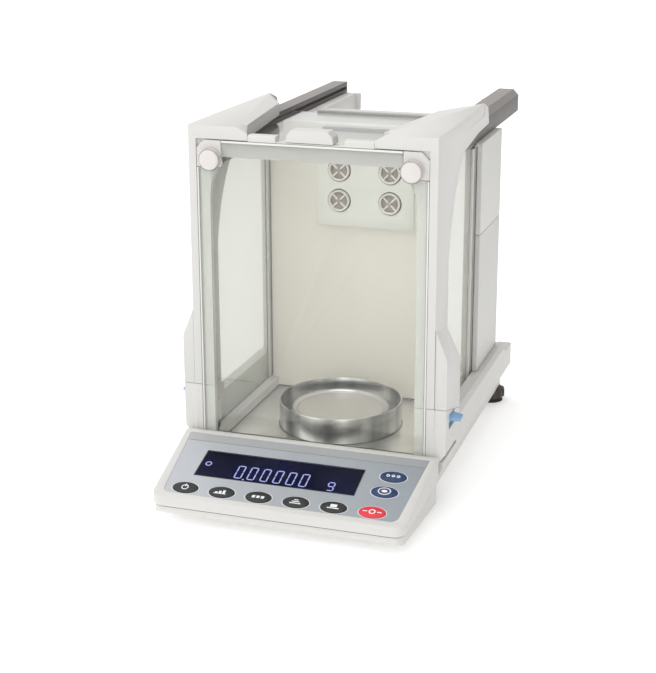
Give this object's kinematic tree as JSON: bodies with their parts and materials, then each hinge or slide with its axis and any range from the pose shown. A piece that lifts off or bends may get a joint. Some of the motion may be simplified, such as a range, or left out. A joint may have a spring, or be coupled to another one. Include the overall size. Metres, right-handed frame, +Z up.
{
  "type": "analytical balance",
  "caption": "Analytical balance: sliding-glass draft shield, round pan inside a steel ring, and a sloped keypad display in front of the base.",
  "frame": {"origin": "centre of the overall box, on the table the balance stands on", "axes": "+X to the user's right, +Y from the display towards the rear, +Z up"},
  "size_m": [0.259, 0.466, 0.326],
  "materials": {
    "white_shell": "satin warm white moulded casing",
    "grey_tray": "plain light grey moulding",
    "floor_steel": "brushed along its length",
    "ring_steel": "polished, lightly turned",
    "door_glass": "clear float glass with a faint green tint",
    "rail_anodised": "dark grey anodised extrusion",
    "wall_beige": "satin warm grey wall",
    "grille_white": "satin off-white outlets",
    "cap_grey": "satin grey end caps",
    "frame_grey": "satin light grey door profiles",
    "panel_silver": "printed silver-grey front panel",
    "window_dark": "dark blue-black lens",
    "key_black": "satin black key",
    "key_red": "satin red key",
    "key_navy": "satin navy key",
    "lever_blue": "light blue lever",
    "foot_rubber": "black rubber pad",
    "foot_taupe": "dark taupe thumbwheel",
    "stud_steel": "zinc-plated thread",
    "cell_aluminium": "machined",
    "magnet_iron": "plated soft iron",
    "weight_steel": "turned stainless steel",
    "board_green": "solder-masked board",
    "connector_black": "black sockets",
    "vial_glass": "spirit-filled vial"
  },
  "bodies": {
    "chassis": {"base_housing": "white_shell", "front_crossbar": "white_shell", "rear_covers": "white_shell", "rail_supports": "white_shell", "display_bezel": "white_shell", "display_tray": "white_shell", "cell_housing": "white_shell", "corner_block_left": "white_shell", "corner_block_right": "white_shell", "front_pillar_left": "white_shell", "front_pillar_right": "white_shell", "pane_clamps": "white_shell", "base_tray": "grey_tray", "chamber_floor": "floor_steel", "front_feet": "foot_rubber", "rear_connectors": "connector_black", "door_rail_left": "rail_anodised", "door_rail_right": "rail_anodised", "front_pane": "door_glass", "rail_end_caps": "cap_grey", "rear_wall": "wall_beige", "ionizer_panel": "wall_beige", "ionizer_grilles": "grille_white", "circuit_boards": "board_green", "draft_ring": "ring_steel", "cell_frame": "cell_aluminium", "cell_magnet": "magnet_iron", "calibration_motor": "connector_black", "bubble_level": "vial_glass", "display_panel": "panel_silver", "display_window": "window_dark", "display_module": "board_green"},
    "side_door_right": {"door_glass_right": "door_glass", "door_frame_right": "frame_grey"},
    "side_door_left": {"door_glass_left": "door_glass", "door_frame_left": "frame_grey"},
    "top_door": {"top_door_glass": "door_glass", "top_door_grip": "white_shell"},
    "clamp_knob_right": {"clamp_knob_right": "white_shell"},
    "clamp_knob_left": {"clamp_knob_left": "white_shell"},
    "lock_lever_right": {"lock_lever_right": "lever_blue"},
    "lock_lever_left": {"lock_lever_left": "lever_blue"},
    "pan_carrier": {"weighing_pan": "ring_steel", "pan_hanger": "cell_aluminium"},
    "weigh_beam": {"weigh_beam": "cell_aluminium"},
    "calibration_lift": {"calibration_weight": "weight_steel"},
    "foot_pad_right": {"foot_pad_right": "foot_rubber"},
    "foot_pad_left": {"foot_pad_left": "foot_rubber"},
    "foot_wheel_right": {"foot_wheel_right": "foot_taupe", "foot_stud_right": "stud_steel"},
    "foot_wheel_left": {"foot_wheel_left": "foot_taupe", "foot_stud_left": "stud_steel"},
    "key_power": {"key_power": "key_black"},
    "key_calibrate": {"key_calibrate": "key_black"},
    "key_mode": {"key_mode": "key_black"},
    "key_range": {"key_range": "key_black"},
    "key_print": {"key_print": "key_black"},
    "key_zero": {"key_zero": "key_red"},
    "key_select": {"key_select": "key_navy"},
    "key_ionizer": {"key_ionizer": "key_navy"}
  },
  "joints": [
    {"name": "side_door_right_slide", "type": "slide", "parent": "chassis", "child": "side_door_right", "axis": [0, 1, 0], "range_m": [0, 0.14]},
    {"name": "side_door_left_slide", "type": "slide", "parent": "chassis", "child": "side_door_left", "axis": [0, 1, 0], "range_m": [0, 0.14]},
    {"name": "top_door_slide", "type": "slide", "parent": "chassis", "child": "top_door", "axis": [0, 1, 0], "range_m": [0, 0.14]},
    {"name": "clamp_knob_right_turn", "type": "hinge", "parent": "chassis", "child": "clamp_knob_right", "pos_m": [0.0888, -0.1345, 0.2976], "axis": [0, 1, 0], "range_deg": [0, 90]},
    {"name": "clamp_knob_left_turn", "type": "hinge", "parent": "chassis", "child": "clamp_knob_left", "pos_m": [-0.0888, -0.1345, 0.2976], "axis": [0, 1, 0], "range_deg": [-90, 0]},
    {"name": "lock_lever_right_slide", "type": "slide", "parent": "chassis", "child": "lock_lever_right", "axis": [0, 0, -1], "range_m": [0, 0.0043]},
    {"name": "lock_lever_left_slide", "type": "slide", "parent": "chassis", "child": "lock_lever_left", "axis": [0, 0, -1], "range_m": [0, 0.0043]},
    {"name": "key_power_press", "type": "slide", "parent": "chassis", "child": "key_power", "axis": [0, 0.274, -0.9617], "range_m": [0, 0.0005], "stiffness_N_per_m": 800, "springref_m": -0.0006},
    {"name": "key_calibrate_press", "type": "slide", "parent": "chassis", "child": "key_calibrate", "axis": [0, 0.274, -0.9617], "range_m": [0, 0.0005], "stiffness_N_per_m": 800, "springref_m": -0.0006},
    {"name": "key_mode_press", "type": "slide", "parent": "chassis", "child": "key_mode", "axis": [0, 0.274, -0.9617], "range_m": [0, 0.0005], "stiffness_N_per_m": 800, "springref_m": -0.0006},
    {"name": "key_range_press", "type": "slide", "parent": "chassis", "child": "key_range", "axis": [0, 0.274, -0.9617], "range_m": [0, 0.0005], "stiffness_N_per_m": 800, "springref_m": -0.0006},
    {"name": "key_print_press", "type": "slide", "parent": "chassis", "child": "key_print", "axis": [0, 0.274, -0.9617], "range_m": [0, 0.0005], "stiffness_N_per_m": 800, "springref_m": -0.0006},
    {"name": "key_zero_press", "type": "slide", "parent": "chassis", "child": "key_zero", "axis": [0, 0.274, -0.9617], "range_m": [0, 0.0005], "stiffness_N_per_m": 800, "springref_m": -0.0006},
    {"name": "key_select_press", "type": "slide", "parent": "chassis", "child": "key_select", "axis": [0, 0.274, -0.9617], "range_m": [0, 0.0005], "stiffness_N_per_m": 800, "springref_m": -0.0006},
    {"name": "key_ionizer_press", "type": "slide", "parent": "chassis", "child": "key_ionizer", "axis": [0, 0.274, -0.9617], "range_m": [0, 0.0005], "stiffness_N_per_m": 800, "springref_m": -0.0006},
    {"name": "pan_travel", "type": "slide", "parent": "chassis", "child": "pan_carrier", "axis": [0, 0, -1], "range_m": [0, 0.0003], "stiffness_N_per_m": 5000, "springref_m": -0.0015},
    {"name": "beam_tilt", "type": "hinge", "parent": "chassis", "child": "weigh_beam", "pos_m": [0, 0.0615, 0.092], "axis": [1, 0, 0], "range_deg": [0, 1.5]},
    {"name": "calibration_lower", "type": "slide", "parent": "chassis", "child": "calibration_lift", "axis": [0, 0, -1], "range_m": [0, 0.0035]},
    {"name": "foot_right_extend", "type": "slide", "parent": "chassis", "child": "foot_pad_right", "axis": [0, 0, -1], "range_m": [0, 0.005]},
    {"name": "foot_right_turn", "type": "hinge", "parent": "foot_pad_right", "child": "foot_wheel_right", "pos_m": [0.1, 0.1515, 0.008], "axis": [0, 0, -1], "range_deg": [0, 1440]},
    {"name": "foot_left_extend", "type": "slide", "parent": "chassis", "child": "foot_pad_left", "axis": [0, 0, -1], "range_m": [0, 0.005]},
    {"name": "foot_left_turn", "type": "hinge", "parent": "foot_pad_left", "child": "foot_wheel_left", "pos_m": [-0.1, 0.1515, 0.008], "axis": [0, 0, -1], "range_deg": [0, 1440]}
  ],
  "couplings": [
    {"joint": "beam_tilt", "follows": "pan_travel", "rad_per_m": 83.333},
    {"joint": "foot_right_extend", "follows": "foot_right_turn", "m_per_rad": 0.00019875},
    {"joint": "foot_left_extend", "follows": "foot_left_turn", "m_per_rad": 0.00019875}
  ]
}
